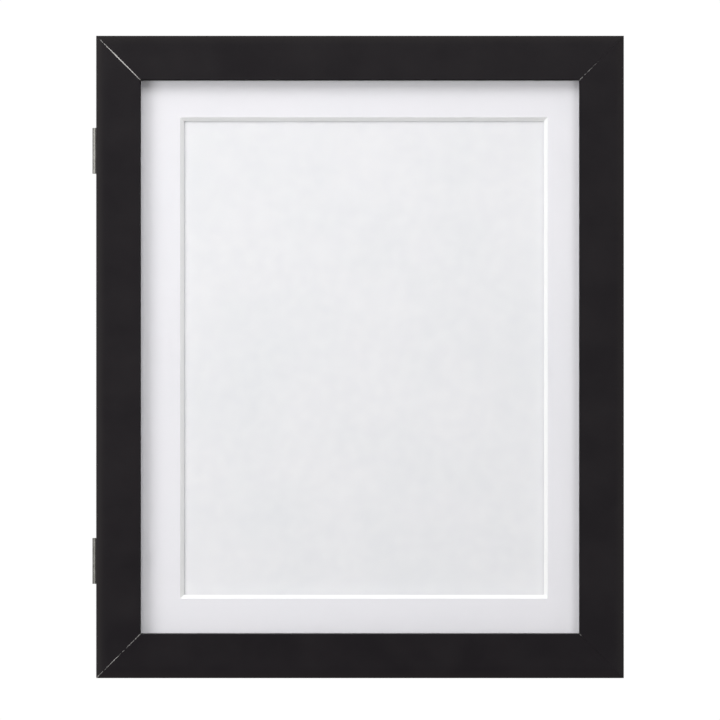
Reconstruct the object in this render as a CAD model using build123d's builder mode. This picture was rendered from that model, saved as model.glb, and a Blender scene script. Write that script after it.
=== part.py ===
from build123d import *
import os

# A front-opening display frame with a window mat: a wall box, a hinged glazed door,
# and a sprung board inside that holds one sheet behind the mat.
# Millimetres. +Z is up, +X is to the viewer's right and the front faces -Y.
# The origin is the middle notch of the upper hanger, on the wall plane.

# Overall sizes
frame_width = 292.1
frame_height = 355.6
hanger_above_middle = 150.0
middle_height = -hanger_above_middle

# Depths, each measured from the wall plane
box_depth = 22.0
parting_gap = 1.0
door_thickness = 10.0
door_back = box_depth + parting_gap
parting_line = box_depth + parting_gap / 2

# Door bars
face_width = 24.5
lip_thickness = 6.0
rebate_width = 6.2
rebate_depth = door_thickness - lip_thickness
shoulder_width = 6.5
shoulder_drop = 0.42
face_fall = 0.25
outer_easing = 0.8
sight_easing = 0.3
mitre_joint = 0.06
sight_width = frame_width - 2 * face_width
sight_height = frame_height - 2 * face_width
rebate_opening = (sight_width + 2 * rebate_width, sight_height + 2 * rebate_width)

# Glass and mat, packed into the door's rebate
glass_size = (254.0, 317.5)
glass_thickness = 2.0
mat_size = (251.0, 317.8)
mat_thickness = rebate_depth - glass_thickness
mat_front = door_back + mat_thickness
window_front = (204.0, 267.2)
window_bevel = 2.0
mat_drop = (rebate_opening[1] - mat_size[1]) / 2 - 0.02
mat_shift = (rebate_opening[0] - mat_size[0]) / 2 - 0.05
glass_drop = (rebate_opening[1] - glass_size[1]) / 2 - 0.02

# Wall box
wall_width = 11.0
wall_easing = 0.8
panel_ledge_depth = 6.0
panel_rim = 6.0
panel_thickness = 3.0
panel_play = 0.3
panel_back = panel_ledge_depth - panel_thickness
ledge_opening = (frame_width - 2 * panel_rim, frame_height - 2 * panel_rim)
panel_screw_inset = 8.5

# Butt hinges on the left edge
hinge_heights = {"upper": 114.6, "lower": -113.4}
hinge_length = 25.4
knuckle_count = 5
knuckle_gap = 0.1
knuckle_length = (hinge_length - (knuckle_count - 1) * knuckle_gap) / knuckle_count
barrel_radius = 1.6
barrel_outset = 1.15
barrel_x = -frame_width / 2 - barrel_outset
pin_radius = 0.75
pin_running_gap = 0.05
leaf_reach = 9.2
leaf_thickness = 0.9
leaf_clear = 0.15
knuckle_clear = 0.3
mortise_end_clear = 0.2
hinge_screw_x = barrel_x + 6.1
hinge_screw_spread = 7.5

# Magnetic catch and felt bumpers on the right edge
catch_x = frame_width / 2 - wall_width / 2
catch_heights = {"upper": 113.0, "lower": -113.0}
catch_radius = 4.0
magnet_thickness = 3.0
strike_thickness = 1.0
catch_proud = 0.4
bumper_heights = (60.0, -60.0)
bumper_thickness = parting_gap - 0.05

# Turn buttons that hold the mat and glass in the door
button_thickness = 2.0
button_gap = 0.1
button_width = 6.0
button_reach = 9.0
button_bore = 1.1
button_shank = 1.05
button_offset = 3.65
button_x = sight_width / 2 + rebate_width + button_offset
button_z = sight_height / 2 + rebate_width + button_offset
button_side_height = 75.0

# Sprung board with its sheet
board_size = (232.0, 296.0)
board_thickness = 2.5
sheet_size = (215.9, 279.4)
sheet_thickness = 0.3
sheet_behind_mat = 0.8
sheet_front = door_back - sheet_behind_mat
board_front = sheet_front - sheet_thickness
board_back = board_front - board_thickness
strap_thickness = 0.6
strap_near_corner = 237.5
strap_far_corner = 243.2
foam_size = 40.0
foam_spots = [(x, z) for x in (-75.0, 75.0) for z in (-105.0, 105.0)]
foam_gap = 0.1

# Sawtooth hangers, let into the space behind the back panel
hanger_length = 45.0
hanger_height = 9.0
hanger_metal = 0.8
hanger_tab = 6.0
hanger_rise = 1.6
tooth_pitch = 2.5
tooth_depth = 1.6
tooth_count = 9
rivet_spread = 19.8
landscape_x = 118.0

# How far a cutter runs past what it cuts, and the steel of the corner nails
overshoot = 1.0
nail_metal = 0.4
nail_length = 5.0

sides = ("top", "bottom", "left", "right")
corners = [(x, z) for x in (-1, 1) for z in (-1, 1)]
os.makedirs("parts", exist_ok=True)


def front_plane(from_wall):
    # Drawn as seen from the front: local x is +X and local y is the height above the middle.
    return Plane(origin=(0, -from_wall, middle_height), x_dir=(1, 0, 0), z_dir=(0, -1, 0))


def facing_viewer(x, height, from_wall):
    return Location((x, -from_wall, middle_height + height), (90, 0, 0))


def facing_wall(x, height, from_wall):
    return Location((x, -from_wall, middle_height + height), (-90, 0, 0))


def save(builder, name):
    builder.part.label = name
    export_step(builder.part, f"parts/{name}.step")
    return builder.part


def bar_outline(side, bar_width):
    # The four corners of one mitred bar, each end pulled in by half of the glued joint.
    half_w, half_h = frame_width / 2, frame_height / 2
    in_w, in_h = half_w - bar_width, half_h - bar_width
    pull = mitre_joint / 2 * 2 ** 0.5
    if side in ("top", "bottom"):
        way = 1 if side == "top" else -1
        half_w, in_w = half_w - pull, in_w - pull
        return [(half_w, way * half_h), (-half_w, way * half_h), (-in_w, way * in_h), (in_w, way * in_h)]
    way = 1 if side == "right" else -1
    half_h, in_h = half_h - pull, in_h - pull
    return [(way * half_w, -half_h), (way * half_w, half_h), (way * in_w, in_h), (way * in_w, -in_h)]


def screw(length, head_radius, shank_radius, head_height, countersunk=True, slotted=True):
    # The head's top is at the local origin and the point is below it.
    with BuildPart() as made:
        with BuildSketch(Plane.XZ):
            with BuildLine():
                if countersunk:
                    Polyline((0, 0), (head_radius, 0), (shank_radius, -head_height))
                    neck = -head_height
                else:
                    Polyline((0, head_height), (head_radius * 0.7, head_height))
                    ThreePointArc(
                        (head_radius * 0.7, head_height),
                        (head_radius * 0.93, head_height * 0.72),
                        (head_radius, 0),
                    )
                    Line((head_radius, 0), (shank_radius, 0))
                    neck = 0
                Polyline(
                    (shank_radius, neck),
                    (shank_radius, -length + shank_radius * 1.6),
                    (0, -length),
                    (0, 0 if countersunk else head_height),
                )
            make_face()
        revolve(axis=Axis.Z)
        if slotted:
            top = 0 if countersunk else head_height
            with BuildSketch(Plane.XY.offset(top)):
                Rectangle(head_radius * 1.1, head_radius * 0.24)
                Rectangle(head_radius * 0.24, head_radius * 1.1)
            extrude(amount=-head_height * 0.6, mode=Mode.SUBTRACT)
    return made.part


def group(piece, places):
    with BuildPart() as made:
        with Locations(*places):
            add(piece)
    return made


def v_nails(from_wall, insets, leg):
    # Folded steel nails across each mitre, one leg in each bar.
    with BuildPart() as made:
        with BuildSketch(front_plane(from_wall)):
            for x_sign, z_sign in corners:
                for inset in insets:
                    point_x = x_sign * (frame_width / 2 - inset)
                    point_z = z_sign * (frame_height / 2 - inset)
                    with BuildLine():
                        Polyline(
                            (point_x - x_sign * leg, point_z),
                            (point_x, point_z),
                            (point_x, point_z - z_sign * leg),
                        )
                    trace(line_width=nail_metal)
        extrude(amount=nail_length)
    return made


# Hinges: leaves, pins and screws
def knuckle_start(index, centre):
    return centre - hinge_length / 2 + index * (knuckle_length + knuckle_gap)


def hinge_leaf(centre, owned, plate_near, bore_radius, screw_cut):
    # plate_near is the side of the plate nearer to the wall.
    plate_middle = -(plate_near + leaf_thickness / 2)
    bottom = middle_height + centre - hinge_length / 2
    plate_start = barrel_x + barrel_radius + knuckle_clear
    plate_end = barrel_x + leaf_reach
    with BuildPart() as leaf:
        with BuildSketch(Plane.XY.offset(bottom)):
            with Locations(((plate_start + plate_end) / 2, plate_middle)):
                Rectangle(plate_end - plate_start, leaf_thickness)
        extrude(amount=hinge_length)
        for index in owned:
            low = middle_height + knuckle_start(index, centre)
            with BuildSketch(Plane.XY.offset(low)):
                with Locations((barrel_x, -parting_line)):
                    Circle(barrel_radius)
                with Locations(((barrel_x + plate_start) / 2, plate_middle)):
                    Rectangle(plate_start - barrel_x, leaf_thickness)
            extrude(amount=knuckle_length)
        with BuildSketch(Plane.XY.offset(bottom - overshoot)):
            with Locations((barrel_x, -parting_line)):
                Circle(bore_radius)
        extrude(amount=hinge_length + 2 * overshoot, mode=Mode.SUBTRACT)
        add(screw_cut, mode=Mode.SUBTRACT)
    return leaf


def hinge_pin(centre):
    with BuildPart() as pin:
        with BuildSketch(Plane.XY.offset(middle_height + centre - hinge_length / 2)):
            with Locations((barrel_x, -parting_line)):
                Circle(pin_radius)
        extrude(amount=hinge_length)
        chamfer(pin.edges().filter_by(GeomType.CIRCLE), 0.2)
    return pin


hinge_screw_spots = [
    (hinge_screw_x, centre + step)
    for centre in hinge_heights.values()
    for step in (-hinge_screw_spread, hinge_screw_spread)
]
box_leaf_face = parting_line - leaf_clear
door_leaf_face = parting_line + leaf_clear
box_screw_places = [facing_viewer(x, z, box_leaf_face) for x, z in hinge_screw_spots]
door_screw_places = [facing_wall(x, z, door_leaf_face) for x, z in hinge_screw_spots]
small_screw = {"head_radius": 1.9, "shank_radius": 1.0, "head_height": 0.9}
box_hinge_screws = group(screw(9.0, **small_screw), box_screw_places)
door_hinge_screws = group(screw(7.5, **small_screw), door_screw_places)
box_hinge_holes = group(screw(9.0, slotted=False, **small_screw), box_screw_places).part
door_hinge_holes = group(screw(7.5, slotted=False, **small_screw), door_screw_places).part
save(box_hinge_screws, "hinge_box_screws")
save(door_hinge_screws, "hinge_door_screws")

for place, centre in hinge_heights.items():
    leaf_near = box_leaf_face - leaf_thickness
    box_leaf = hinge_leaf(centre, (0, 2, 4), leaf_near, pin_radius, box_hinge_holes)
    save(box_leaf, f"hinge_box_leaf_{place}")
    bore = pin_radius + pin_running_gap
    door_leaf = hinge_leaf(centre, (1, 3), door_leaf_face, bore, door_hinge_holes)
    save(door_leaf, f"hinge_door_leaf_{place}")
    save(hinge_pin(centre), f"hinge_pin_{place}")

# The mortises and barrel groove that the hinges need in the wood
with BuildPart() as hinge_mortises:
    for centre in hinge_heights.values():
        bottom = middle_height + centre - hinge_length / 2 - mortise_end_clear
        with BuildSketch(Plane.XY.offset(bottom)):
            with Locations((barrel_x, -parting_line)):
                Circle(barrel_radius + knuckle_clear)
            with Locations((barrel_x + leaf_reach / 2, -parting_line)):
                Rectangle(leaf_reach, 2 * (leaf_clear + leaf_thickness))
        extrude(amount=hinge_length + 2 * mortise_end_clear)


# Catch magnets in the box and steel discs in the door
def disc(x, height, near, thickness):
    with BuildPart() as made:
        with BuildSketch(front_plane(near)):
            with Locations((x, height)):
                Circle(catch_radius)
        extrude(amount=thickness)
    return made


magnet_near = box_depth + catch_proud - magnet_thickness
strike_near = door_back - catch_proud
magnets = []
strikes = []
for place, height in catch_heights.items():
    magnet = disc(catch_x, height, magnet_near, magnet_thickness)
    strike = disc(catch_x, height, strike_near, strike_thickness)
    magnets.append(save(magnet, f"catch_magnet_{place}"))
    strikes.append(save(strike, f"catch_strike_{place}"))

with BuildPart() as bumpers:
    with BuildSketch(front_plane(box_depth)):
        with Locations(*[(catch_x, height) for height in bumper_heights]):
            Circle(catch_radius)
    extrude(amount=bumper_thickness)
save(bumpers, "felt_bumpers")

# Turn buttons: pivot places, and the way each one points inwards over the mat
button_spots = {
    "left_upper": (-button_x, button_side_height, 0),
    "left_lower": (-button_x, -button_side_height, 0),
    "right_upper": (button_x, button_side_height, 180),
    "right_lower": (button_x, -button_side_height, 180),
    "top": (0, button_z, 270),
    "bottom": (0, -button_z, 90),
}
button_near = door_back - button_gap - button_thickness
for place, (x, height, turn) in button_spots.items():
    with BuildPart() as button:
        with BuildSketch(front_plane(button_near)):
            with Locations(Location((x, height, 0), (0, 0, turn))):
                with Locations((button_reach / 2, 0)):
                    SlotCenterToCenter(button_reach, button_width)
                Circle(button_bore, mode=Mode.SUBTRACT)
        extrude(amount=button_thickness)
        rear_face = button.faces().sort_by(Axis.Y)[-1]
        chamfer(rear_face.outer_wire().edges(), 0.5)
    save(button, f"turn_button_{place}")

button_screw = {
    "head_radius": 2.1,
    "shank_radius": button_shank,
    "head_height": 1.2,
    "countersunk": False,
}
button_screw_places = [
    facing_wall(x, height, button_near - button_gap) for x, height, _ in button_spots.values()
]
save(group(screw(8.0, **button_screw), button_screw_places), "turn_button_screws")
button_holes = group(screw(8.0, slotted=False, **button_screw), button_screw_places).part

# Door: four mitred bars, the glass and the window mat
door_nails = v_nails(door_back, insets=(5.0, 12.0), leg=5.0)
save(door_nails, "door_corner_nails")

inward = {"top": (0, 0, -1), "bottom": (0, 0, 1), "left": (1, 0, 0), "right": (-1, 0, 0)}


def moulding(side):
    # The bar's section, run past both mitres: a flat face that falls away to a soft shoulder
    # at its outer edge. Local x runs inwards from the outer edge and local y from the wall.
    way = Vector(*inward[side])
    half = frame_width / 2 if way.X else frame_height / 2
    start = Vector(0, 0, middle_height) - way * half
    section = Plane(origin=start, x_dir=way, z_dir=way.cross(Vector(0, -1, 0)))
    front = door_back + door_thickness
    face_out = front - face_fall
    edge_top = face_out - shoulder_drop
    with BuildPart() as made:
        with BuildSketch(section):
            with BuildLine():
                Line((0, door_back), (0, edge_top - outer_easing))
                ThreePointArc(
                    (0, edge_top - outer_easing),
                    (outer_easing * 0.27, edge_top - outer_easing * 0.27),
                    (outer_easing, edge_top),
                )
                Spline(
                    (outer_easing, edge_top),
                    (shoulder_width, face_out),
                    tangents=[(1, 0.22), (1, face_fall / (face_width - shoulder_width))],
                )
                Polyline(
                    (shoulder_width, face_out),
                    (face_width - sight_easing, front),
                    (face_width, front - sight_easing),
                    (face_width, front - lip_thickness),
                    (face_width - rebate_width, front - lip_thickness),
                    (face_width - rebate_width, door_back),
                    (0, door_back),
                )
            make_face()
        extrude(amount=frame_height, both=True)
        with BuildSketch(front_plane(door_back - overshoot)):
            Polygon(*bar_outline(side, face_width), align=None)
        extrude(amount=door_thickness + 2 * overshoot, mode=Mode.INTERSECT)
    return made


for side in sides:
    with moulding(side) as bar:
        add(door_nails.part, mode=Mode.SUBTRACT)
        add(button_holes, mode=Mode.SUBTRACT)
        if side == "left":
            add(hinge_mortises.part, mode=Mode.SUBTRACT)
            add(door_hinge_holes, mode=Mode.SUBTRACT)
        if side == "right":
            add(strikes, mode=Mode.SUBTRACT)
    save(bar, f"door_bar_{side}")

with BuildPart() as glass:
    with BuildSketch(front_plane(mat_front)):
        with Locations((0, -glass_drop)):
            Rectangle(*glass_size)
    extrude(amount=glass_thickness)
save(glass, "glass")

with BuildPart() as mat:
    with BuildSketch(front_plane(door_back)):
        with Locations((mat_shift, -mat_drop)):
            Rectangle(*mat_size)
    extrude(amount=mat_thickness)
    with BuildSketch(front_plane(door_back)):
        with Locations((mat_shift, -mat_drop)):
            Rectangle(*[size - 2 * window_bevel for size in window_front])
    with BuildSketch(front_plane(mat_front)):
        with Locations((mat_shift, -mat_drop)):
            Rectangle(*window_front)
    loft(mode=Mode.SUBTRACT)
save(mat, "window_mat")

# Box: four mitred walls with a ledge behind for the back panel
panel_screw_spots = [
    (x, z)
    for x in (-frame_width / 2 + panel_screw_inset, frame_width / 2 - panel_screw_inset)
    for z in (-110.0, 0.0, 110.0)
] + [
    (x, z)
    for x in (-80.0, 80.0)
    for z in (-frame_height / 2 + panel_screw_inset, frame_height / 2 - panel_screw_inset)
]
panel_screw = {"head_radius": 2.1, "shank_radius": 1.15, "head_height": 1.4}
panel_screw_places = [facing_wall(x, z, panel_back) for x, z in panel_screw_spots]
save(group(screw(12.0, **panel_screw), panel_screw_places), "back_panel_screws")
panel_holes = group(screw(12.0, slotted=False, **panel_screw), panel_screw_places).part

box_nails = v_nails(0.0, insets=(2.2,), leg=3.2)
save(box_nails, "box_corner_nails")

for side in sides:
    with BuildPart() as wall:
        with BuildSketch(front_plane(0)):
            Polygon(*bar_outline(side, wall_width), align=None)
        extrude(amount=box_depth)
        rims = (wall.faces().sort_by(Axis.Y)[0], wall.faces().sort_by(Axis.Y)[-1])
        outer_edges = [rim.edges().sort_by(SortBy.LENGTH)[-1] for rim in rims]
        fillet(outer_edges, wall_easing)
        with BuildSketch(front_plane(0)):
            Rectangle(*ledge_opening)
        extrude(amount=panel_ledge_depth, mode=Mode.SUBTRACT)
        add(box_nails.part, mode=Mode.SUBTRACT)
        add(panel_holes, mode=Mode.SUBTRACT)
        if side == "left":
            add(hinge_mortises.part, mode=Mode.SUBTRACT)
            add(box_hinge_holes, mode=Mode.SUBTRACT)
        if side == "right":
            add(magnets, mode=Mode.SUBTRACT)
    save(wall, f"box_wall_{side}")


# Hangers: a toothed strip that stands off the panel between two riveted tabs
def hanger(origin, along):
    # The middle notch is at the local origin and the teeth point down local y.
    strip = Plane(origin=origin, x_dir=along, z_dir=(0, -1, 0))
    half, rise = hanger_length / 2, hanger_rise
    tab_level = panel_back - hanger_metal / 2
    strip_level = tab_level - rise / 1.2
    across = Plane(origin=origin, x_dir=along, z_dir=strip.y_dir)
    level_sign = 1 if across.y_dir.Y < 0 else -1
    with BuildPart() as made:
        with BuildSketch(across.offset(-tooth_depth / 2)):
            with BuildLine():
                Polyline(
                    (-half, level_sign * tab_level),
                    (-half + hanger_tab, level_sign * tab_level),
                    (-half + hanger_tab + rise, level_sign * strip_level),
                    (half - hanger_tab - rise, level_sign * strip_level),
                    (half - hanger_tab, level_sign * tab_level),
                    (half, level_sign * tab_level),
                )
            trace(line_width=hanger_metal)
        extrude(amount=hanger_height)
        with BuildSketch(strip.offset(-overshoot)):
            for index in range(tooth_count):
                middle = (index - (tooth_count - 1) / 2) * tooth_pitch
                with BuildLine():
                    Polyline(
                        (middle - tooth_pitch / 2, -tooth_depth),
                        (middle, 0),
                        (middle + tooth_pitch / 2, -tooth_depth),
                        close=True,
                    )
                make_face()
        extrude(amount=panel_back + overshoot, mode=Mode.SUBTRACT)
    return made


notch_to_rivet = hanger_height / 2 - tooth_depth / 2
hanger_rivet_spots = [
    (-rivet_spread, hanger_above_middle + notch_to_rivet),
    (rivet_spread, hanger_above_middle + notch_to_rivet),
    (landscape_x + notch_to_rivet, -rivet_spread),
    (landscape_x + notch_to_rivet, rivet_spread),
]
rivet_shank = 0.9
rivet_head = 2.0
with BuildPart() as rivets:
    with BuildSketch(front_plane(panel_back - hanger_metal)):
        with Locations(*hanger_rivet_spots):
            Circle(rivet_shank)
    extrude(amount=panel_thickness + hanger_metal)
    with BuildSketch(front_plane(panel_back - hanger_metal)):
        with Locations(*hanger_rivet_spots):
            Circle(rivet_head)
    extrude(amount=-0.7, taper=25)
    with BuildSketch(front_plane(panel_back + panel_thickness)):
        with Locations(*hanger_rivet_spots):
            Circle(rivet_head)
    extrude(amount=0.5, taper=20)
save(rivets, "hanger_rivets")

upright_hanger = hanger((0, 0, 0), (1, 0, 0))
landscape_hanger = hanger((landscape_x, 0, middle_height), (0, 0, -1))
for name, made in (("upright", upright_hanger), ("landscape", landscape_hanger)):
    with made:
        add(rivets.part, mode=Mode.SUBTRACT)
    save(made, f"hanger_{name}")

with BuildPart() as panel:
    with BuildSketch(front_plane(panel_back)):
        Rectangle(*[size - 2 * panel_play for size in ledge_opening])
    extrude(amount=panel_thickness)
    add(panel_holes, mode=Mode.SUBTRACT)
    add(rivets.part, mode=Mode.SUBTRACT)
save(panel, "back_panel")

# Foam springs between the back panel and the board
foam_near = panel_back + panel_thickness
for index, (x, z) in enumerate(foam_spots, start=1):
    with BuildPart() as foam:
        with BuildSketch(front_plane(foam_near)):
            with Locations((x, z)):
                RectangleRounded(foam_size, foam_size, 3.0)
        extrude(amount=board_back - foam_near - foam_gap)
    save(foam, f"foam_pad_{index}")

# The sheet and the four elastic straps that hold its corners to the board
with BuildPart() as sheet:
    with BuildSketch(front_plane(board_front)):
        Rectangle(*sheet_size)
    extrude(amount=sheet_thickness)
save(sheet, "display_sheet")


def corner_strap(x_sign, z_sign):
    half_w = board_size[0] / 2 + strap_thickness
    half_h = board_size[1] / 2 + strap_thickness
    depth = board_thickness + sheet_thickness + 2 * strap_thickness
    band = [
        (half_w, strap_near_corner - half_w),
        (half_w, strap_far_corner - half_w),
        (strap_far_corner - half_h, half_h),
        (strap_near_corner - half_h, half_h),
    ]
    with BuildPart() as strap:
        with BuildSketch(front_plane(board_back - strap_thickness)):
            Polygon(*[(x_sign * x, z_sign * z) for x, z in band], align=None)
        extrude(amount=depth)
        with BuildSketch(front_plane(board_back)):
            Rectangle(*board_size)
        extrude(amount=board_thickness + sheet_thickness, mode=Mode.SUBTRACT)
    return strap


def strap_staples():
    # One staple over the rear run of each strap, its legs through the strap into the board.
    crown, wire, leg = 3.0, 0.5, 1.6
    centre = (strap_near_corner + strap_far_corner) / 4
    lean = (board_size[1] - board_size[0]) / 4
    with BuildPart() as staples:
        for x_sign, z_sign in corners:
            spot = Location(
                (x_sign * (centre - lean), z_sign * (centre + lean), 0),
                (0, 0, 45 * x_sign * z_sign),
            )
            with BuildSketch(front_plane(board_back - strap_thickness)):
                with Locations(spot):
                    Rectangle(crown, wire)
            extrude(amount=-wire)
            with BuildSketch(front_plane(board_back - strap_thickness)):
                with Locations(spot):
                    with Locations((-(crown - wire) / 2, 0), ((crown - wire) / 2, 0)):
                        Rectangle(wire, wire)
            extrude(amount=strap_thickness + leg)
    return staples


staples = strap_staples()
save(staples, "strap_staples")
for index, (x_sign, z_sign) in enumerate(corners, start=1):
    strap = corner_strap(x_sign, z_sign)
    with strap:
        add(staples.part, mode=Mode.SUBTRACT)
    save(strap, f"corner_strap_{index}")

with BuildPart() as board:
    with BuildSketch(front_plane(board_back)):
        Rectangle(*board_size)
    extrude(amount=board_thickness)
    add(staples.part, mode=Mode.SUBTRACT)
save(board, "pressure_board")
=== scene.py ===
import bpy
import bmesh
import math
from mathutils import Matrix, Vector, noise


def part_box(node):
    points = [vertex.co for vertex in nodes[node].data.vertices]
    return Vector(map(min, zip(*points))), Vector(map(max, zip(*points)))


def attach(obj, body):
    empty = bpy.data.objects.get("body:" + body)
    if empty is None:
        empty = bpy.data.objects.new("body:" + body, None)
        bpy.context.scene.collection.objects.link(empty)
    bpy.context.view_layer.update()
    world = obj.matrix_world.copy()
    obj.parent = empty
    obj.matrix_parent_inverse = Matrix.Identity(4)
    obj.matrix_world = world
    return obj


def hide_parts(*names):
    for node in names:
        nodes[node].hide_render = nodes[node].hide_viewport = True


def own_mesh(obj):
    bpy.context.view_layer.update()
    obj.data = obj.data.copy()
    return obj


# A black front-opening display frame: wrapped bars, a window mat under glass, nickel hinges.
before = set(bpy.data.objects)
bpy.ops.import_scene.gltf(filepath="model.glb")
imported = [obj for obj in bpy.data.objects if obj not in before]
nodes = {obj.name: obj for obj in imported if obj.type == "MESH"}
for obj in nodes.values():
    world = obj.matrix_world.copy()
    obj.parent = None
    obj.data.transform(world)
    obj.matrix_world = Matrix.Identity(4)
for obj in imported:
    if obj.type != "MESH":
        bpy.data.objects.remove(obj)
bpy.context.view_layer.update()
mm = 0.001
scene = bpy.context.scene

# The door's outline gives the middle that everything else is placed from.
doorLow = Vector((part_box("door_bar_left")[0].x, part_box("door_bar_left")[0].y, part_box("door_bar_bottom")[0].z))
doorHigh = Vector((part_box("door_bar_right")[1].x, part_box("door_bar_left")[1].y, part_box("door_bar_top")[1].z))
middle = (doorLow + doorHigh) / 2
halfWide = (doorHigh.x - doorLow.x) / 2
halfTall = (doorHigh.z - doorLow.z) / 2
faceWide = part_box("door_bar_left")[1].x - doorLow.x
print("frame loaded:", len(nodes), "nodes")


def linear(hexColour):
    # sRGB hex to linear light, with full alpha
    parts = [int(hexColour[i:i + 2], 16) / 255 for i in (1, 3, 5)]
    return [c / 12.92 if c <= 0.04045 else ((c + 0.055) / 1.055) ** 2.4 for c in parts] + [1.0]


def addNode(tree, kind, values=None, links=None, stops=None, **settings):
    # One node: its settings, its plain values, what feeds it, and a ramp's stops.
    made = tree.nodes.new("ShaderNode" + kind)
    for key, value in settings.items():
        setattr(made, key, value)
    for socket, value in (values or {}).items():
        made.inputs[socket].default_value = value
    for socket, source in (links or {}).items():
        tree.links.new(source, made.inputs[socket])
    for index, (place, colour) in enumerate(stops or []):
        bar = made.color_ramp.elements
        element = bar[index] if index < len(bar) else bar.new(place)
        element.position = place
        element.color = colour
    return made


def startMaterial(name, **shader):
    # A Principled material with its plain values, and the place on the piece in millimetres.
    material = bpy.data.materials.new(name)
    material.use_nodes = True
    tree = material.node_tree
    surface = tree.nodes["Principled BSDF"]
    for key, value in shader.items():
        surface.inputs[key.replace("_", " ")].default_value = value
    where = addNode(tree, "TexCoord")
    place = addNode(tree, "VectorMath", {"Scale": 1 / mm}, {0: where.outputs["Object"]}, operation="SCALE")
    return material, tree, surface, place.outputs[0]


def finishNodes(names, material):
    for name in names:
        data = nodes[name].data
        data.materials.clear()
        data.materials.append(material)


def nodesNamed(*starts):
    return [name for name in nodes if name.startswith(starts)]


# Camera: level and square on, through a long lens
view = {"distance": 2.0, "shownWidth": 0.3983, "aimBelowMiddle": 1.69 * mm, "sensor": 36.0, "nearClip": 0.05}
cameraData = bpy.data.cameras.new("camera")
cameraData.sensor_width = view["sensor"]
cameraData.lens = view["sensor"] * view["distance"] / view["shownWidth"]
cameraData.clip_start = view["nearClip"]
camera = bpy.data.objects.new("camera", cameraData)
camera.location = (middle.x, doorLow.y - view["distance"], middle.z - view["aimBelowMiddle"])
camera.rotation_euler = (math.radians(90), 0, 0)
scene.collection.objects.link(camera)
scene.camera = camera

# Light: a box high in front, a wide one well to the left, a weak fill to the right, and a dim white room
light = {
    "boxes": {
        # name: where its middle is from the frame's, its width and height in metres, and its power in watts
        "overhead": ((-0.1, -0.85, 0.74), 0.5, 0.6, 6.2),
        "leftSide": ((-1.28, -1.27, 0.02), 1.0, 0.6, 15.6),
        "rightFill": ((0.85, -1.7, 0.1), 0.5, 0.6, 6.4),
    },
    "roomLow": 0.28,
    "roomHigh": 0.1,
    "roomBand": 0.5,
    "paper": 0.85,
    "paperBand": 0.3,
    "ceiling": 1.1,
    "ceilingFrom": 0.5,
    "ceilingTo": 0.85,
    "lampInGlass": 0.03,
    "background": 1.02,
    "floorDrop": 1.2,
    "floorSize": 8.0,
    "floorColour": "#fcfcfc",
}
for name, (place, wide, tall, watts) in light["boxes"].items():
    lampData = bpy.data.lights.new(name, "AREA")
    lampData.shape = "RECTANGLE"
    lampData.size = wide
    lampData.size_y = tall
    lampData.energy = watts
    # A lamp mirrored in the glass would hide the mat, so its image in any glossy surface is dimmed.
    lampData.use_nodes = True
    lampTree = lampData.node_tree
    seen = addNode(lampTree, "LightPath")
    dimmed = addNode(
        lampTree, "MapRange", {"To Min": 1.0, "To Max": light["lampInGlass"]},
        {"Value": seen.outputs["Glossy Depth"]},
    )
    lampTree.links.new(dimmed.outputs[0], lampTree.nodes["Emission"].inputs["Strength"])
    lamp = bpy.data.objects.new(name, lampData)
    lamp.location = middle + Vector(place)
    lamp.rotation_euler = (middle - lamp.location).to_track_quat("-Z", "Y").to_euler()
    scene.collection.objects.link(lamp)

world = bpy.data.worlds.new("studio")
world.use_nodes = True
scene.world = world
sky = world.node_tree
sky.nodes.clear()
direction = addNode(sky, "TexCoord")
upward = addNode(sky, "SeparateXYZ", links={0: direction.outputs["Generated"]})
room = addNode(
    sky, "MapRange",
    {
        "From Min": -light["roomBand"], "From Max": light["roomBand"],
        "To Min": light["roomLow"], "To Max": light["roomHigh"],
    },
    {"Value": upward.outputs["Z"]}, interpolation_type="SMOOTHSTEP",
)
# The paper behind the frame lights its back and edges, but never its front.
backdrop = addNode(
    sky, "MapRange", {"From Min": 0.0, "From Max": light["paperBand"], "To Max": light["paper"]},
    {"Value": upward.outputs["Y"], "To Min": room.outputs[0]}, interpolation_type="SMOOTHSTEP",
)
strength = addNode(
    sky, "MapRange",
    {"From Min": light["ceilingFrom"], "From Max": light["ceilingTo"], "To Max": light["ceiling"]},
    {"Value": upward.outputs["Z"], "To Min": backdrop.outputs[0]}, interpolation_type="SMOOTHSTEP",
)
around = addNode(sky, "Background", {0: linear("#ffffff")}, {1: strength.outputs[0]})
behind = addNode(sky, "Background", {0: linear("#ffffff"), 1: light["background"]})
rays = addNode(sky, "LightPath")
mixed = addNode(
    sky, "MixShader", links={0: rays.outputs["Is Camera Ray"], 1: around.outputs[0], 2: behind.outputs[0]},
)
addNode(sky, "OutputWorld", links={0: mixed.outputs[0]})
scene.view_settings.view_transform = "Standard"
scene.view_settings.look = "None"

bpy.ops.mesh.primitive_grid_add(size=light["floorSize"], location=(0, 0, middle.z - light["floorDrop"]))
floor = bpy.context.object
floor.name = "studio_floor"
floor.visible_diffuse = False  # the floor is there to be seen, and throws no light up at the frame
floor.visible_glossy = False
floorColour = linear(light["floorColour"])
floorPaint = startMaterial("pale matt paint, rolled", Roughness=0.9, Base_Color=floorColour)[0]
floor.data.materials.append(floorPaint)
print("camera, light and floor made")

noiseRange = (0.3, 0.7)  # where nearly all of a noise texture's values lie

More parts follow.
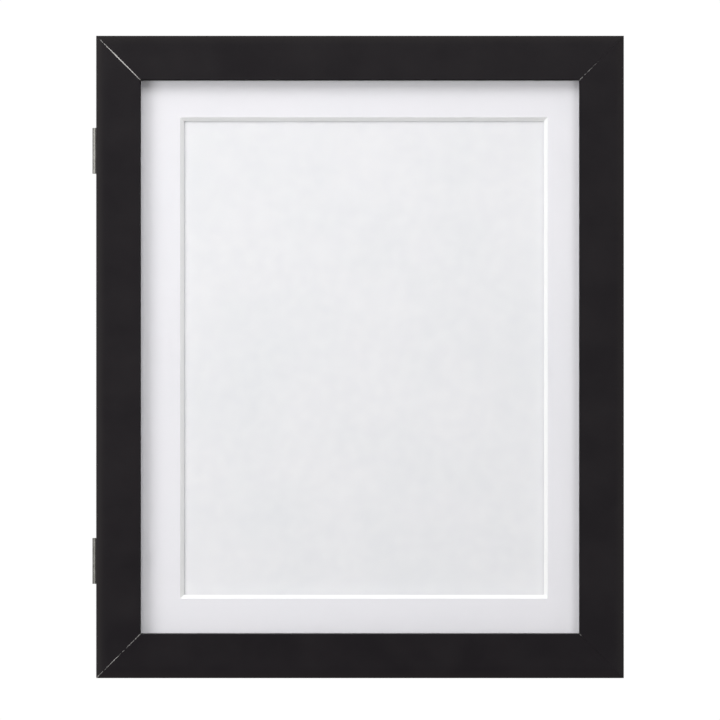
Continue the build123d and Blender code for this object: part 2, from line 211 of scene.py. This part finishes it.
# Bars: fibreboard wrapped in black foil. Satin, with a faint orange peel from the glue
# under the foil, and pale core showing where the mitres have rubbed or cracked it.
foil = {
    "colour": "#141014",
    "worn": "#191518",
    "core": "#cfcdca",
    # the next colour and width paint a highlight along the bars' outer edges, where the rounded shoulders catch
    # side light
    "edgeHighlight": "#1d191a",
    "edgeHighlightWidth": 5.5,
    "roughness": (0.42, 0.5),
    "peelSize": 0.9,
    "peelDepth": 0.004,
    "patchSize": 22.0,
    "patchStops": (0.35, 0.75),
    # the core shows where the opening times breakWeight, plus the noise, is past breakShows
    "breakLength": 1.9,
    "breakWeight": 0.9,
    "breakShows": (0.78, 0.88),
    "palest": 0.35,
    "ragSize": 0.8,
    "ragDepth": 0.3,
    # half widths in millimetres where a mitre has opened least and most
    "opened": (0.1, 0.31),
    # how far each mitre has opened, from the outer corner at 0 to the sight corner at 1
    "topLeft": [(0.0, 0.0), (0.1, 0.42), (0.22, 0.6), (0.45, 1.0), (0.8, 0.85), (0.93, 0.66), (1.0, 0.5)],
    "bottomLeft": [(0.0, 0.7), (0.08, 0.42), (0.3, 0.42), (0.4, 0.58), (0.5, 0.4), (0.8, 0.44), (1.0, 0.55)],
    "topRight": [(0.0, 0.0), (0.45, 0.0), (0.6, 0.34), (0.78, 0.4), (1.0, 0.42)],
    "bottomRight": [(0.0, 0.0), (0.8, 0.0), (0.9, 0.3), (1.0, 0.34)],
}


def foilWrapped(name, withMitres):
    material, tree, surface, place = startMaterial(name, IOR=1.5, Specular_IOR_Level=0.17)
    patches = addNode(tree, "TexNoise", {"Scale": 1 / foil["patchSize"], "Detail": 4.0}, {"Vector": place})
    darkStop, wornStop = foil["patchStops"]
    colour = addNode(
        tree, "ValToRGB", links={0: patches.outputs[0]},
        stops=[(darkStop, linear(foil["colour"])), (wornStop, linear(foil["worn"]))],
    )
    low, high = foil["roughness"]
    roughness = addNode(
        tree, "MapRange",
        {"From Min": noiseRange[0], "From Max": noiseRange[1], "To Min": low, "To Max": high},
        {"Value": patches.outputs[0]},
    )
    peel = addNode(tree, "TexNoise", {"Scale": 1 / foil["peelSize"], "Detail": 2.0}, {"Vector": place})
    dent = addNode(
        tree, "Bump", {"Distance": foil["peelDepth"] * mm, "Strength": 1.0}, {"Height": peel.outputs[0]},
    )
    tree.links.new(dent.outputs[0], surface.inputs["Normal"])
    tree.links.new(roughness.outputs[0], surface.inputs["Roughness"])
    if not withMitres:
        tree.links.new(colour.outputs[0], surface.inputs["Base Color"])
        return material
    # Both distances run inwards from the outer edges, so a mitre is where they are equal.
    axes = addNode(tree, "SeparateXYZ", links={0: place})
    fromMiddle = {}
    inwards = {}
    for axis, centre, half in (("X", middle.x, halfWide), ("Z", middle.z, halfTall)):
        offset = addNode(tree, "Math", {1: centre / mm}, {0: axes.outputs[axis]}, operation="SUBTRACT")
        size = addNode(tree, "Math", links={0: offset.outputs[0]}, operation="ABSOLUTE")
        inside = addNode(tree, "Math", {0: half / mm}, {1: size.outputs[0]}, operation="SUBTRACT")
        fromMiddle[axis] = offset.outputs[0]
        inwards[axis] = inside.outputs[0]
    # A paler band along the outer edges is a painted highlight, for the side light that the rounded shoulders
    # catch.
    fromEdge = addNode(tree, "Math", links={0: inwards["X"], 1: inwards["Z"]}, operation="MINIMUM")
    edgeHighlightShare = addNode(
        tree, "MapRange", {"From Min": foil["edgeHighlightWidth"], "From Max": 0.0}, {"Value": fromEdge.outputs[0]},
        interpolation_type="SMOOTHSTEP",
    )
    edgeHighlight = addNode(
        tree, "Mix", {7: linear(foil["edgeHighlight"])}, {0: edgeHighlightShare.outputs[0], 6: colour.outputs[0]},
        data_type="RGBA",
    )
    gap = addNode(tree, "Math", links={0: inwards["X"], 1: inwards["Z"]}, operation="SUBTRACT")
    apart = addNode(tree, "Math", links={0: gap.outputs[0]}, operation="ABSOLUTE")
    fromMitre = addNode(tree, "Math", {1: math.sqrt(0.5)}, {0: apart.outputs[0]}, operation="MULTIPLY")
    along = addNode(tree, "Math", {1: faceWide / mm}, {0: inwards["X"]}, operation="DIVIDE")
    opened = {}
    for corner in ("topLeft", "bottomLeft", "topRight", "bottomRight"):
        shares = [(at, (share, share, share, 1.0)) for at, share in foil[corner]]
        opened[corner] = addNode(tree, "ValToRGB", links={0: along.outputs[0]}, stops=shares).outputs[0]
    onLeft = addNode(tree, "Math", {1: 0.0}, {0: fromMiddle["X"]}, operation="LESS_THAN")
    onTop = addNode(tree, "Math", {1: 0.0}, {0: fromMiddle["Z"]}, operation="GREATER_THAN")
    sides = []
    for row in ("bottom", "top"):
        pair = {0: onLeft.outputs[0], 2: opened[row + "Right"], 3: opened[row + "Left"]}
        sides.append(addNode(tree, "Mix", links=pair).outputs[0])
    amount = addNode(tree, "Mix", links={0: onTop.outputs[0], 2: sides[0], 3: sides[1]})
    breaks = addNode(tree, "TexNoise", {"Scale": 1 / foil["breakLength"], "Detail": 3.0}, {"Vector": place})
    raised = addNode(
        tree, "Math", {1: foil["breakWeight"]}, {0: amount.outputs[0], 2: breaks.outputs[0]},
        operation="MULTIPLY_ADD",
    )
    hidden, bare = foil["breakShows"]
    shows = addNode(tree, "MapRange", {"From Min": hidden, "From Max": bare}, {"Value": raised.outputs[0]})
    least, most = foil["opened"]
    reach = addNode(tree, "MapRange", {"To Min": least, "To Max": most}, {"Value": amount.outputs[0]})
    rag = addNode(tree, "TexNoise", {"Scale": 1 / foil["ragSize"], "Detail": 2.0}, {"Vector": place})
    edge = addNode(
        tree, "Math", {1: foil["ragDepth"]}, {0: rag.outputs[0], 2: reach.outputs[0]},
        operation="MULTIPLY_ADD",
    )
    within = addNode(tree, "Math", links={0: edge.outputs[0], 1: fromMitre.outputs[0]}, operation="SUBTRACT")
    line = addNode(
        tree, "MapRange", {"From Min": foil["ragDepth"] / 2, "From Max": foil["ragDepth"]},
        {"Value": within.outputs[0]},
    )
    pale = addNode(tree, "MapRange", {"To Min": foil["palest"], "To Max": 1.0}, {"Value": amount.outputs[0]})
    shown = addNode(tree, "Math", links={0: line.outputs[0], 1: shows.outputs[0]}, operation="MULTIPLY")
    bared = addNode(tree, "Math", links={0: shown.outputs[0], 1: pale.outputs[0]}, operation="MULTIPLY")
    withCore = addNode(
        tree, "Mix", {7: linear(foil["core"])}, {0: bared.outputs[0], 6: edgeHighlight.outputs[2]}, data_type="RGBA",
    )
    tree.links.new(withCore.outputs[2], surface.inputs["Base Color"])
    return material


finishNodes(nodesNamed("door_bar"), foilWrapped("black foil wrapped fibreboard, mitred", True))
finishNodes(nodesNamed("box_wall"), foilWrapped("black foil wrapped fibreboard", False))

# Mat: board with a smooth faced paper and a solid white core that the bevel cutter bares
matBoard = {
    "face": "#e9e8ec",
    "faceDark": "#e4e3e7",
    "core": "#f6f6f6",
    "fibreSize": 0.35,  # paper fibres are under 0.05 mm wide, and are drawn coarser so that they show
    "fibreDepth": 0.006,
    "flatFrom": 0.9,  # how squarely a face looks forward or back to count as faced paper, not core
}


def bevelledMat():
    material, tree, surface, place = startMaterial("mat board, bevel cut", Roughness=0.85, IOR=1.45)
    fibres = addNode(
        tree, "TexNoise", {"Scale": 1 / matBoard["fibreSize"], "Detail": 5.0, "Roughness": 0.6},
        {"Vector": place},
    )
    face = addNode(
        tree, "ValToRGB", links={0: fibres.outputs[0]},
        stops=[(noiseRange[0], linear(matBoard["faceDark"])), (noiseRange[1], linear(matBoard["face"]))],
    )
    facing = addNode(tree, "NewGeometry")
    turned = addNode(tree, "SeparateXYZ", links={0: facing.outputs["True Normal"]})
    flatness = addNode(tree, "Math", links={0: turned.outputs["Y"]}, operation="ABSOLUTE")
    isFace = addNode(
        tree, "Math", {1: matBoard["flatFrom"]}, {0: flatness.outputs[0]}, operation="GREATER_THAN",
    )
    colour = addNode(
        tree, "Mix", {6: linear(matBoard["core"])}, {0: isFace.outputs[0], 7: face.outputs[0]},
        data_type="RGBA",
    )
    tooth = addNode(
        tree, "Bump", {"Distance": matBoard["fibreDepth"] * mm}, {"Height": fibres.outputs[0]},
    )
    tree.links.new(colour.outputs[2], surface.inputs["Base Color"])
    tree.links.new(tooth.outputs[0], surface.inputs["Normal"])
    return material


finishNodes(["window_mat"], bevelledMat())

# Sheet: smooth drawing paper, with soft clouding where the pulp is thicker. Its tooth is about
# 0.1 mm in life, and is drawn coarser so that it shows.
paper = {"light": "#e9e9eb", "dark": "#e5e5e8", "cloudSize": 6.0, "toothSize": 0.25, "toothDepth": 0.004}


def drawingPaper():
    material, tree, surface, place = startMaterial("calendered drawing paper", Roughness=0.8, IOR=1.45)
    clouds = addNode(tree, "TexNoise", {"Scale": 1 / paper["cloudSize"], "Detail": 3.0}, {"Vector": place})
    colour = addNode(
        tree, "ValToRGB", links={0: clouds.outputs[0]},
        stops=[(noiseRange[0], linear(paper["dark"])), (noiseRange[1], linear(paper["light"]))],
    )
    grain = addNode(tree, "TexNoise", {"Scale": 1 / paper["toothSize"], "Detail": 3.0}, {"Vector": place})
    tooth = addNode(tree, "Bump", {"Distance": paper["toothDepth"] * mm}, {"Height": grain.outputs[0]})
    tree.links.new(colour.outputs[0], surface.inputs["Base Color"])
    tree.links.new(tooth.outputs[0], surface.inputs["Normal"])
    return material


finishNodes(["display_sheet"], drawingPaper())

# Glass: float glass, fire polished on both faces, so it is clear with a thin mirror over the mat.
# Light from the lamps and from the mat passes straight through it.
glassLook = {"clean": "#ffffff", "smeared": "#fcfdfd", "smearSize": 45.0, "smearStops": (0.4, 0.7)}


def floatGlass():
    material, tree, surface, place = startMaterial(
        "float glass, fire polished", IOR=1.52, Transmission_Weight=1.0, Roughness=0.0,
    )
    smears = addNode(
        tree, "TexNoise", {"Scale": 1 / glassLook["smearSize"], "Detail": 5.0}, {"Vector": place},
    )
    cleanStop, smearStop = glassLook["smearStops"]
    film = addNode(
        tree, "ValToRGB", links={0: smears.outputs[0]},
        stops=[(cleanStop, linear(glassLook["clean"])), (smearStop, linear(glassLook["smeared"]))],
    )
    tree.links.new(film.outputs[0], surface.inputs["Base Color"])
    through = addNode(tree, "BsdfTransparent", {0: linear(glassLook["clean"])})
    rays = addNode(tree, "LightPath")
    bounced = addNode(
        tree, "MixShader",
        links={0: rays.outputs["Is Diffuse Ray"], 1: surface.outputs[0], 2: through.outputs[0]},
    )
    lamps = addNode(
        tree, "MixShader",
        links={0: rays.outputs["Is Shadow Ray"], 1: bounced.outputs[0], 2: through.outputs[0]},
    )
    tree.links.new(lamps.outputs[0], tree.nodes["Material Output"].inputs["Surface"])
    return material


finishNodes(["glass"], floatGlass())
print("bars, mat, sheet and glass finished")


# Metals share a base: a plated or bare colour, fine lines or grain from how it was worked, and a
# little tarnish. Draw and polish lines are under 0.05 mm in life, and are drawn coarser so that they show.
tarnishStops = (0.35, 0.7)


def platedMetal(name, look):
    material, tree, surface, place = startMaterial(name, Metallic=1.0)
    stretched = addNode(tree, "Mapping", {"Scale": look["lineStretch"]}, {0: place})
    lines = addNode(
        tree, "TexNoise", {"Scale": 1 / look["lineSize"], "Detail": 4.0}, {"Vector": stretched.outputs[0]},
    )
    tarnish = addNode(tree, "TexNoise", {"Scale": 1 / look["tarnishSize"], "Detail": 5.0}, {"Vector": place})
    colour = addNode(
        tree, "ValToRGB", links={0: tarnish.outputs[0]},
        stops=[(tarnishStops[0], linear(look["colour"])), (tarnishStops[1], linear(look["tarnish"]))],
    )
    low, high = look["roughness"]
    rough = addNode(
        tree, "MapRange",
        {"From Min": noiseRange[0], "From Max": noiseRange[1], "To Min": low, "To Max": high},
        {"Value": lines.outputs[0]},
    )
    scratch = addNode(tree, "Bump", {"Distance": look["lineDepth"] * mm}, {"Height": lines.outputs[0]})
    tree.links.new(colour.outputs[0], surface.inputs["Base Color"])
    tree.links.new(rough.outputs[0], surface.inputs["Roughness"])
    tree.links.new(scratch.outputs[0], surface.inputs["Normal"])
    return material


nickel = {
    "colour": "#a09f9b", "tarnish": "#8c8a86", "roughness": (0.42, 0.52), "tarnishSize": 4.0,
    "lineSize": 0.25, "lineStretch": (1.0, 1.0, 0.12), "lineDepth": 0.003,
}
zinc = {
    "colour": "#c3c7cb", "tarnish": "#9ea1a0", "roughness": (0.3, 0.5), "tarnishSize": 1.6,
    "lineSize": 0.3, "lineStretch": (1.0, 1.0, 1.0), "lineDepth": 0.004,
}
brightSteel = {
    "colour": "#9a9a9a", "tarnish": "#77746f", "roughness": (0.35, 0.5), "tarnishSize": 2.0,
    "lineSize": 0.3, "lineStretch": (0.15, 1.0, 1.0), "lineDepth": 0.004,
}
brassPlate = {
    "colour": "#c9a35a", "tarnish": "#a5833f", "roughness": (0.25, 0.4), "tarnishSize": 3.0,
    "lineSize": 0.3, "lineStretch": (0.12, 1.0, 1.0), "lineDepth": 0.003,
}
# a darker copy of the nickel, painted shade for the lower hinge
nickelPaintedShade = dict(nickel, colour="#84837f", tarnish="#72706c")
smoothNickel = dict(
    nickel, colour="#c9c6be", tarnish="#aaa69d", roughness=(0.12, 0.22), lineStretch=(1.0, 1.0, 1.0),
)
# Hinges: drawn, then barrel plated with nickel. Satin, with fine lines along the barrel; the lower one is painted
# darker, as painted shade for the darker surroundings it reflects
for place, look in (("upper", nickel), ("lower", nickelPaintedShade)):
    plate = platedMetal("nickel plated steel, drawn, " + place, look)
    finishNodes([name for name in nodesNamed("hinge_") if name.endswith(place)], plate)
# Their screws: cold headed, with the same satin plate
screwPlate = platedMetal("nickel plated steel, cold headed", nickel)
finishNodes(["hinge_box_screws", "hinge_door_screws"], screwPlate)
# Magnets and strikes: nickel plated too, but tumbled smooth, so they mirror softly
finishNodes(nodesNamed("catch_"), platedMetal("nickel plated steel, tumbled", smoothNickel))
# Cold headed screws, rivets and staples: dull bluish zinc, a little cloudy
zincPlate = platedMetal("zinc plated steel, cold headed", zinc)
finishNodes(["back_panel_screws", "turn_button_screws", "hanger_rivets", "strap_staples"], zincPlate)
# Corner nails: rolled strip left bright, grey with lines along the roll
nailStrip = platedMetal("bright steel strip, rolled", brightSteel)
finishNodes(["box_corner_nails", "door_corner_nails"], nailStrip)
# Hangers: stamped, then thinly brass plated, a soft yellow shine with darker clouds
hangerPlate = platedMetal("brass plated steel, stamped", brassPlate)
finishNodes(["hanger_upright", "hanger_landscape"], hangerPlate)

# Boards: hot pressed hardboard behind and laminated grey chipboard inside. Both are full of short
# fibres laid level, with a few pale flecks; the hardboard has a slight shine and the chipboard none.
# The fibres are 0.1 to 0.3 mm wide in life, and are drawn coarser so that they show.
hardboard = {
    "dark": "#4a3221", "light": "#7a5a3f", "fleck": "#a98b68", "fibreSize": 1.1, "stretch": (0.45, 1.0, 1.0),
    "fleckSize": 0.5, "roughness": 0.62, "depth": 0.012,
}
chipboard = {
    "dark": "#7d7a75", "light": "#918e88", "fleck": "#b5b2aa", "fibreSize": 1.6, "stretch": (0.6, 1.0, 1.0),
    "fleckSize": 0.7, "roughness": 0.9, "depth": 0.015,
}
boardPattern = {"stops": (0.35, 0.65), "fleckApart": 2.5, "fleckEdge": (0.16, 0.08), "fleckShare": 0.5}


def pressedBoard(name, look):
    material, tree, surface, place = startMaterial(name, Roughness=look["roughness"])
    laid = addNode(tree, "Mapping", {"Scale": look["stretch"]}, {0: place})
    fibres = addNode(
        tree, "TexNoise", {"Scale": 1 / look["fibreSize"], "Detail": 6.0, "Roughness": 0.65},
        {"Vector": laid.outputs[0]},
    )
    darkStop, lightStop = boardPattern["stops"]
    base = addNode(
        tree, "ValToRGB", links={0: fibres.outputs[0]},
        stops=[(darkStop, linear(look["dark"])), (lightStop, linear(look["light"]))],
    )
    fleckPitch = look["fleckSize"] * boardPattern["fleckApart"]
    chips = addNode(tree, "TexVoronoi", {"Scale": 1 / fleckPitch}, {"Vector": laid.outputs[0]})
    rim, core = boardPattern["fleckEdge"]
    near = addNode(
        tree, "MapRange", {"From Min": rim, "From Max": core, "To Max": boardPattern["fleckShare"]},
        {"Value": chips.outputs[0]},
    )
    colour = addNode(
        tree, "Mix", {7: linear(look["fleck"])}, {0: near.outputs[0], 6: base.outputs[0]}, data_type="RGBA",
    )
    lift = addNode(tree, "Bump", {"Distance": look["depth"] * mm}, {"Height": fibres.outputs[0]})
    tree.links.new(colour.outputs[2], surface.inputs["Base Color"])
    tree.links.new(lift.outputs[0], surface.inputs["Normal"])
    return material


finishNodes(["back_panel"], pressedBoard("hardboard, hot pressed", hardboard))
finishNodes(["pressure_board"], pressedBoard("grey chipboard, laminated", chipboard))

# Turn buttons: nylon moulded in a spark eroded tool, which leaves a fine even grain. The grain is
# about 0.05 mm in life, and is drawn coarser so that it shows.
nylon = {"colour": "#161617", "grainSize": 0.35, "grainDepth": 0.008, "roughness": (0.4, 0.55)}


def mouldedNylon():
    material, tree, surface, place = startMaterial(
        "black nylon, moulded", IOR=1.53, Base_Color=linear(nylon["colour"]),
    )
    grain = addNode(tree, "TexNoise", {"Scale": 1 / nylon["grainSize"], "Detail": 2.0}, {"Vector": place})
    low, high = nylon["roughness"]
    rough = addNode(tree, "MapRange", {"To Min": low, "To Max": high}, {"Value": grain.outputs[0]})
    dimple = addNode(tree, "Bump", {"Distance": nylon["grainDepth"] * mm}, {"Height": grain.outputs[0]})
    tree.links.new(rough.outputs[0], surface.inputs["Roughness"])
    tree.links.new(dimple.outputs[0], surface.inputs["Normal"])
    return material


buttons = [name for name in nodesNamed("turn_button") if name != "turn_button_screws"]
finishNodes(buttons, mouldedNylon())
print("metals, boards and buttons finished")


def addPiece(name, mesh, body, slot, material, *replaced):
    piece = bpy.data.objects.new(name, mesh)
    scene.collection.objects.link(piece)
    mesh.materials.clear()
    mesh.materials.append(material)
    for face in mesh.polygons:
        face.use_smooth = True
    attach(piece, body)
    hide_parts(*replaced)
    return piece


# Foam pads: open cell foam, cut with a hot wire, matt, with painted shade darkening its pores. The sides hollow a
# little under load, and 0.9 mm cells are those of a coarse packing foam.
foamLook = {
    # the deep colour is painted shade in the pores
    "colour": "#4a4a4d", "deep": "#232326", "poreSize": 0.9, "poreDepth": 0.25, "poreStops": (0.1, 0.5),
    "edge": 1.4 * mm, "waist": 0.7 * mm, "wobble": 0.25 * mm, "ripplesPerMetre": 260, "cuts": 9,
}


def openCellFoam():
    material, tree, surface, place = startMaterial("open cell foam, hot wire cut", Roughness=1.0)
    cells = addNode(tree, "TexVoronoi", {"Scale": 1 / foamLook["poreSize"]}, {"Vector": place})
    poreShadeStop, wallStop = foamLook["poreStops"]
    # painted shade: darkest at the middle of each cell, in the pore
    colour = addNode(
        tree, "ValToRGB", links={0: cells.outputs[0]},
        stops=[(poreShadeStop, linear(foamLook["deep"])), (wallStop, linear(foamLook["colour"]))],
    )
    pore = addNode(
        tree, "Bump", {"Distance": foamLook["poreDepth"] * mm, "Strength": 0.8}, {"Height": cells.outputs[0]},
    )
    tree.links.new(colour.outputs[0], surface.inputs["Base Color"])
    tree.links.new(pore.outputs[0], surface.inputs["Normal"])
    return material


def foamBlock(low, high):
    shape = bmesh.new()
    bmesh.ops.create_cube(shape, size=1.0)
    centre, size = (low + high) / 2, high - low
    for vertex in shape.verts:
        vertex.co = centre + Vector([vertex.co[i] * size[i] for i in range(3)])
    bmesh.ops.bevel(
        shape, geom=shape.edges[:], offset=foamLook["edge"], segments=3, profile=0.5, affect="EDGES",
    )
    bmesh.ops.subdivide_edges(shape, edges=shape.edges[:], cuts=foamLook["cuts"], use_grid_fill=True)
    # The sides hollow most halfway through, and the pull dies away quickly towards the middle.
    for vertex in shape.verts:
        out = vertex.co - centre
        deep = abs(out.y) / (size.y / 2)
        for i in (0, 2):
            side = abs(out[i]) / (size[i] / 2)
            ripple = noise.noise(vertex.co * foamLook["ripplesPerMetre"]) * foamLook["wobble"]
            inset = (1 - deep ** 2) * foamLook["waist"] + foamLook["wobble"] + ripple
            vertex.co[i] -= math.copysign(inset, out[i]) * side ** 4
    mesh = bpy.data.meshes.new("foam")
    shape.to_mesh(mesh)
    shape.free()
    return mesh


foamMaterial = openCellFoam()
for name in sorted(nodesNamed("foam_pad")):
    low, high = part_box(name)
    pad = addPiece(name + "_cut", foamBlock(low, high), "box", "grey_foam", foamMaterial, name)
    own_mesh(pad)

# Felt bumpers: punched discs of needled wool, with a soft pale bloom on the nap. Wool is about
# 0.03 mm thick, and its fibres are drawn coarser so that they show.
feltLook = {
    "colour": "#17171a", "fuzz": "#2b2b2f", "fibreSize": 0.3, "depth": 0.06, "stops": (0.35, 0.7),
    # shares of the radius and of the thickness, from the back's middle round the rim to the front's
    "section": [(0, 1), (0.96, 1), (1, 0.7), (0.99, 0.3), (0.94, 0.08), (0.8, 0), (0.4, 0), (0, 0)],
    "around": 48, "rimRough": 0.012, "rimLumps": 6, "layersPerMetre": 900,
}


def needledFelt():
    material, tree, surface, place = startMaterial("wool felt, needled", Roughness=1.0, Sheen_Weight=0.5)
    fibres = addNode(
        tree, "TexNoise", {"Scale": 1 / feltLook["fibreSize"], "Detail": 5.0}, {"Vector": place},
    )
    darkStop, fuzzStop = feltLook["stops"]
    colour = addNode(
        tree, "ValToRGB", links={0: fibres.outputs[0]},
        stops=[(darkStop, linear(feltLook["colour"])), (fuzzStop, linear(feltLook["fuzz"]))],
    )
    nap = addNode(tree, "Bump", {"Distance": feltLook["depth"] * mm}, {"Height": fibres.outputs[0]})
    tree.links.new(colour.outputs[0], surface.inputs["Base Color"])
    tree.links.new(nap.outputs[0], surface.inputs["Normal"])
    return material


def feltDisc(shape, centre, radius, back, front):
    # The section turned about the disc's axis, with small notches in the rim where the punch tore fibres
    loops = []
    for reachShare, depthShare in feltLook["section"]:
        reach, y = radius * reachShare, front + (back - front) * depthShare
        count = 1 if reach == 0 else feltLook["around"]
        ring = []
        for step in range(count):
            angle = 2 * math.pi * step / count
            spot = Vector((math.cos(angle), math.sin(angle), y * feltLook["layersPerMetre"]))
            notched = min(1 + feltLook["rimRough"] * noise.noise(spot * feltLook["rimLumps"]), 1.0)
            x = centre.x + reach * notched * math.cos(angle)
            z = centre.z + reach * notched * math.sin(angle)
            ring.append(shape.verts.new((x, y, z)))
        loops.append(ring)
    for first, second in zip(loops, loops[1:]):
        count = max(len(first), len(second))
        for step in range(count):
            a, b = first[step % len(first)], first[(step + 1) % len(first)]
            c, d = second[(step + 1) % len(second)], second[step % len(second)]
            shape.faces.new([v for i, v in enumerate((a, b, c, d)) if v not in (a, b, c, d)[:i]])


low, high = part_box("felt_bumpers")
feltRadius = (high.x - low.x) / 2
feltShape = bmesh.new()
for height in (low.z + feltRadius, high.z - feltRadius):
    feltDisc(feltShape, Vector((low.x + feltRadius, 0, height)), feltRadius, high.y, low.y)
bmesh.ops.recalc_face_normals(feltShape, faces=feltShape.faces[:])
feltMesh = bpy.data.meshes.new("felt")
feltShape.to_mesh(feltMesh)
feltShape.free()
felt = addPiece("felt_bumper_discs", feltMesh, "box", "black_felt", needledFelt(), "felt_bumpers")

# Corner straps: flat woven elastic, pulled tight round each corner of the board. Matt and ribbed,
# with ribs along the band over finer picks across it, and painted shade in the grooves with a painted highlight on
# the rib tops.
strapLook = {
    "colour": "#161618", "ribTopHighlight": "#2c2c30", "stops": (0.2, 0.9), "ribPitch": 0.8, "ribDepth": 0.08,
    "pickPitch": 0.5, "pickShare": 0.35,
    "wide": 5.7 * mm, "thick": 0.45 * mm, "sideRoom": 0.15 * mm, "boardRoom": 0.05 * mm,
    "across": 8, "turn": 5, "along": 16,
}


def wovenElastic():
    material, tree, surface, place = startMaterial("rubber elastic, woven", Roughness=0.85, Sheen_Weight=0.3)
    axes = addNode(tree, "SeparateXYZ", links={0: place})
    sizes = []
    for axis, centre in (("X", middle.x), ("Z", middle.z)):
        offset = addNode(tree, "Math", {1: centre / mm}, {0: axes.outputs[axis]}, operation="SUBTRACT")
        sizes.append(addNode(tree, "Math", links={0: offset.outputs[0]}, operation="ABSOLUTE").outputs[0])
    # The bands cross each corner at 45 degrees, so the sum runs across a band and the difference along it.
    across = addNode(tree, "Math", links={0: sizes[0], 1: sizes[1]}, operation="ADD")
    along = addNode(tree, "Math", links={0: sizes[0], 1: sizes[1]}, operation="SUBTRACT")
    waves = []
    for source, pitch in ((across, strapLook["ribPitch"]), (along, strapLook["pickPitch"])):
        turnsPerUnit = 2 * math.pi / (pitch * math.sqrt(2))
        turns = addNode(tree, "Math", {1: turnsPerUnit}, {0: source.outputs[0]}, operation="MULTIPLY")
        waves.append(addNode(tree, "Math", links={0: turns.outputs[0]}, operation="SINE").outputs[0])
    picks = strapLook["pickShare"]
    weave = addNode(tree, "Math", {1: picks}, {0: waves[1], 2: waves[0]}, operation="MULTIPLY_ADD")
    height = addNode(
        tree, "MapRange", {"From Min": -1 - picks, "From Max": 1 + picks}, {"Value": weave.outputs[0]},
    )
    # the colour follows the weave's height: painted shade in the grooves and a painted highlight on the rib tops
    darkStop, ribHighlightStop = strapLook["stops"]
    colour = addNode(
        tree, "ValToRGB", links={0: height.outputs[0]},
        stops=[(darkStop, linear(strapLook["colour"])), (ribHighlightStop, linear(strapLook["ribTopHighlight"]))],
    )
    ribs = addNode(tree, "Bump", {"Distance": strapLook["ribDepth"] * mm}, {"Height": height.outputs[0]})
    tree.links.new(colour.outputs[0], surface.inputs["Base Color"])
    tree.links.new(ribs.outputs[0], surface.inputs["Normal"])
    return material


def strapLoop(low, high, xSign, zSign):
    # The band's centre surface: front run, turn over one board edge, rear run, turn over the other.
    boardLow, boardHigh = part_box("pressure_board")
    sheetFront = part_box("display_sheet")[0].y
    wideEdge = (boardHigh.x - boardLow.x) / 2
    tallEdge = (boardHigh.z - boardLow.z) / 2
    room = strapLook["thick"] / 2 + strapLook["boardRoom"]
    reachZ = abs((low if zSign < 0 else high).z - middle.z)
    # How far out the band's inner edge lies, as the sum of both distances from the middle
    nearSum = min(abs(low.x - middle.x), abs(high.x - middle.x)) + reachZ
    front, back = sheetFront - room, boardHigh.y + room
    shape = bmesh.new()
    columns = []
    for step in range(strapLook["across"] + 1):
        share = step / strapLook["across"]
        total = nearSum + strapLook["sideRoom"] + (strapLook["wide"] - 2 * strapLook["sideRoom"]) * share
        sidePoint = Vector((wideEdge + room, total - wideEdge - room))
        topPoint = Vector((total - tallEdge - room, tallEdge + room))
        ring = []
        for start, end, y, otherY in ((sidePoint, topPoint, front, back), (topPoint, sidePoint, back, front)):
            for index in range(strapLook["along"] + 1):
                ring.append((start.lerp(end, index / strapLook["along"]), y))
            for index in range(1, strapLook["turn"]):
                ring.append((end, y + (otherY - y) * index / strapLook["turn"]))
        columns.append([
            shape.verts.new((middle.x + xSign * spot.x, y, middle.z + zSign * spot.y)) for spot, y in ring
        ])
    for first, second in zip(columns, columns[1:]):
        for index in range(len(first)):
            after = (index + 1) % len(first)
            shape.faces.new((first[index], first[after], second[after], second[index]))
    bmesh.ops.recalc_face_normals(shape, faces=shape.faces[:])
    mesh = bpy.data.meshes.new("strap")
    shape.to_mesh(mesh)
    shape.free()
    return mesh


elastic = wovenElastic()
for name in sorted(nodesNamed("corner_strap")):
    low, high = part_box(name)
    xSign = 1 if (low.x + high.x) / 2 > middle.x else -1
    zSign = 1 if (low.z + high.z) / 2 > middle.z else -1
    band = strapLoop(low, high, xSign, zSign)
    strap = addPiece(name + "_woven", band, "sheet_board", "black_elastic", elastic, name)
    solid = strap.modifiers.new("thickness", "SOLIDIFY")
    solid.thickness = strapLook["thick"]
    solid.offset = 0.0
print("foam, felt and elastic made")
